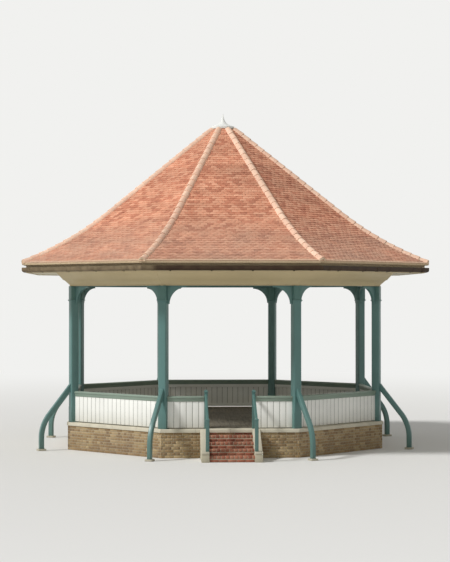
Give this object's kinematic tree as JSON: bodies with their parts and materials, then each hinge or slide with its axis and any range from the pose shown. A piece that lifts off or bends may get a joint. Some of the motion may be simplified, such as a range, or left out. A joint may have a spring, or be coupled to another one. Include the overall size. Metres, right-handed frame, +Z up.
{
  "type": "bandstand",
  "caption": "Octagonal park bandstand: raised brick base with steps, timber posts and struts, boarded balustrades and a bell-cast plain tile roof.",
  "frame": {"origin": "on the ground at the centre of the plan, which is the bottom centre of the bounding box", "axes": "+Z up; -Y out through the front bay and down the steps; +X to the right as the steps are faced"},
  "size_m": [11.085, 11.085, 9.3959],
  "materials": {
    "stock_brick": "matte",
    "red_brick": "matte",
    "pale_stone": "matte",
    "floor_boards": "weathered",
    "teal_paint": "satin paint",
    "white_paint": "satin paint",
    "rail_paint": "satin paint",
    "cream_paint": "satin paint",
    "gutter_paint": "gloss paint",
    "bare_timber": "sawn",
    "clay_tile": "matte",
    "hip_tile": "matte",
    "lead": "matte paint"
  },
  "bodies": {
    "root": {"base": "stock_brick", "stone_edge": "pale_stone", "floor_deck": "floor_boards", "step_1": "red_brick", "step_2": "red_brick", "step_3": "red_brick", "step_4": "red_brick", "cheeks": "pale_stone", "cheek_caps": "pale_stone", "newels": "teal_paint", "handrails": "teal_paint", "post_1": "teal_paint", "post_2": "teal_paint", "post_3": "teal_paint", "post_4": "teal_paint", "post_5": "teal_paint", "post_6": "teal_paint", "post_7": "teal_paint", "post_8": "teal_paint", "struts": "teal_paint", "strut_pads": "pale_stone", "panel_front": "white_paint", "panel_1": "white_paint", "panel_2": "white_paint", "panel_3": "white_paint", "panel_4": "white_paint", "panel_5": "white_paint", "panel_6": "white_paint", "panel_7": "white_paint", "top_rails": "rail_paint", "ring_beam": "teal_paint", "brackets": "teal_paint", "cornice": "cream_paint", "soffit": "cream_paint", "fascia": "cream_paint", "gutter": "gutter_paint", "ceiling": "cream_paint", "ceiling_ribs": "teal_paint", "tie_beams": "bare_timber", "king_post": "bare_timber", "hip_rafters": "bare_timber", "roof_face_1": "clay_tile", "roof_face_2": "clay_tile", "roof_face_3": "clay_tile", "roof_face_4": "clay_tile", "roof_face_5": "clay_tile", "roof_face_6": "clay_tile", "roof_face_7": "clay_tile", "roof_face_8": "clay_tile", "hip_tiles": "hip_tile", "lead_cap": "lead", "finial": "lead"}
  },
  "joints": []
}
